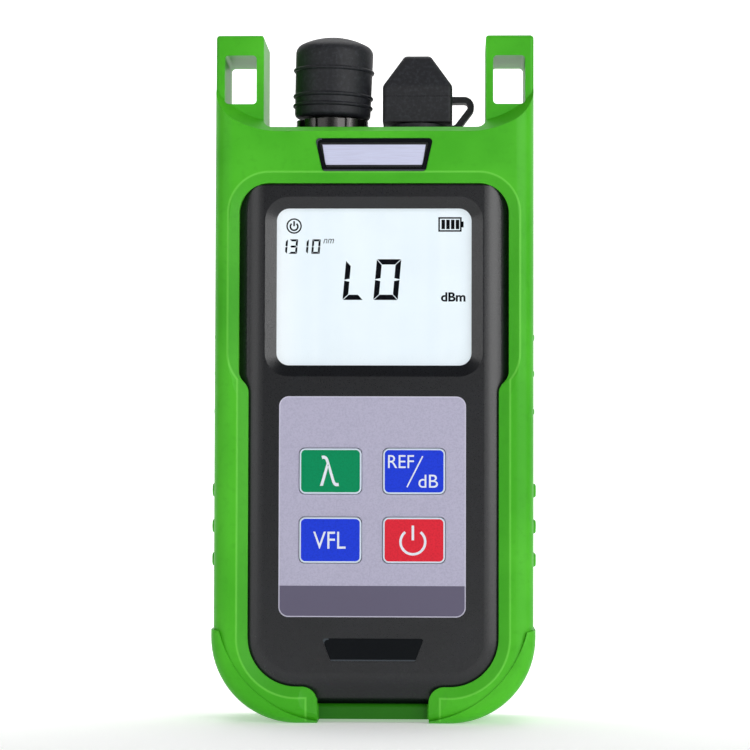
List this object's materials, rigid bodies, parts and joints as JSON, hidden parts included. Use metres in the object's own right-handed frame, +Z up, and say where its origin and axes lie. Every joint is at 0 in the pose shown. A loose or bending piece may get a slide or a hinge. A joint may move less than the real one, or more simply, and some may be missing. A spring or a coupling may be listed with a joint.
{
  "type": "optical power meter",
  "caption": "Handheld fibre optic power meter with display and keypad in a green rubber boot with strap hoops, its ports under rubber dust caps.",
  "frame": {"origin": "middle of the base that the meter stands on", "axes": "+Z up towards the ports, -Y towards the person who reads it, +X to that person's right"},
  "size_m": [0.082, 0.033, 0.175],
  "materials": {
    "boot_rubber": "satin moulded silicone rubber, leaf green",
    "case_plastic": "finely textured ABS, near black",
    "lens_clear": "clear polished lens",
    "display_crystal": "liquid crystal panel, bluish white",
    "backlight_white": "white light guide",
    "frame_plastic": "plain moulded plastic",
    "board_green": "fibreglass board with green resist",
    "component_black": "moulded chip bodies",
    "dome_rubber": "soft silicone",
    "overlay_film": "printed film, lavender grey",
    "key_green": "printed key, green",
    "key_blue": "printed key, blue",
    "key_red": "printed key, red",
    "bezel_black": "gloss black rim",
    "insert_silver": "brushed foil without print",
    "plate_black": "gloss label stock without print",
    "cell_jacket": "plain sleeved steel can",
    "contact_steel": "nickel-plated spring steel",
    "screw_steel": "zinc-plated steel",
    "port_nickel": "nickel-plated turned brass",
    "nut_brass": "turned brass",
    "sensor_can": "gold-lidded metal can",
    "cap_rubber": "soft black rubber"
  },
  "bodies": {
    "meter": {"protective_boot": "boot_rubber", "front_case": "case_plastic", "rear_case": "case_plastic", "port_panel": "case_plastic", "display_window": "lens_clear", "display_glass": "display_crystal", "backlight_panel": "backlight_white", "display_frame": "frame_plastic", "main_board": "board_green", "board_components": "component_black", "buzzer": "component_black", "key_dome_mat": "dome_rubber", "keypad_overlay": "overlay_film", "nameplate_bezel": "bezel_black", "nameplate_insert": "insert_silver", "model_plate": "plate_black", "battery_1": "cell_jacket", "battery_2": "cell_jacket", "battery_3": "cell_jacket", "contact_springs": "contact_steel", "contact_plates": "contact_steel", "board_screws": "screw_steel", "case_screws": "screw_steel", "detector_port_body": "port_nickel", "detector_nut": "nut_brass", "photodiode": "sensor_can", "locator_port_body": "port_nickel", "locator_nut": "nut_brass", "laser_module": "nut_brass"},
    "wavelength_button": {"wavelength_key": "key_green"},
    "reference_button": {"reference_key": "key_blue"},
    "locator_button": {"locator_key": "key_blue"},
    "power_button": {"power_key": "key_red"},
    "door": {"battery_door": "case_plastic"},
    "round_cap": {"detector_cap": "cap_rubber"},
    "square_cap": {"locator_cap": "cap_rubber"}
  },
  "joints": [
    {"name": "wavelength_press", "type": "slide", "parent": "meter", "child": "wavelength_button", "axis": [0, 1, 0], "range_m": [0, 0.0004], "stiffness_N_per_m": 600},
    {"name": "reference_press", "type": "slide", "parent": "meter", "child": "reference_button", "axis": [0, 1, 0], "range_m": [0, 0.0004], "stiffness_N_per_m": 600},
    {"name": "locator_press", "type": "slide", "parent": "meter", "child": "locator_button", "axis": [0, 1, 0], "range_m": [0, 0.0004], "stiffness_N_per_m": 600},
    {"name": "power_press", "type": "slide", "parent": "meter", "child": "power_button", "axis": [0, 1, 0], "range_m": [0, 0.0004], "stiffness_N_per_m": 600},
    {"name": "door_hinge", "type": "hinge", "parent": "meter", "child": "door", "pos_m": [0, 0.0154, 0.0295], "axis": [-1, 0, 0], "range_deg": [0, 50]},
    {"name": "detector_cap_slide", "type": "slide", "parent": "meter", "child": "round_cap", "axis": [0, 0, 1], "range_m": [0, 0.06]},
    {"name": "locator_cap_slide", "type": "slide", "parent": "meter", "child": "square_cap", "axis": [0, 0, 1], "range_m": [0, 0.06]}
  ]
}
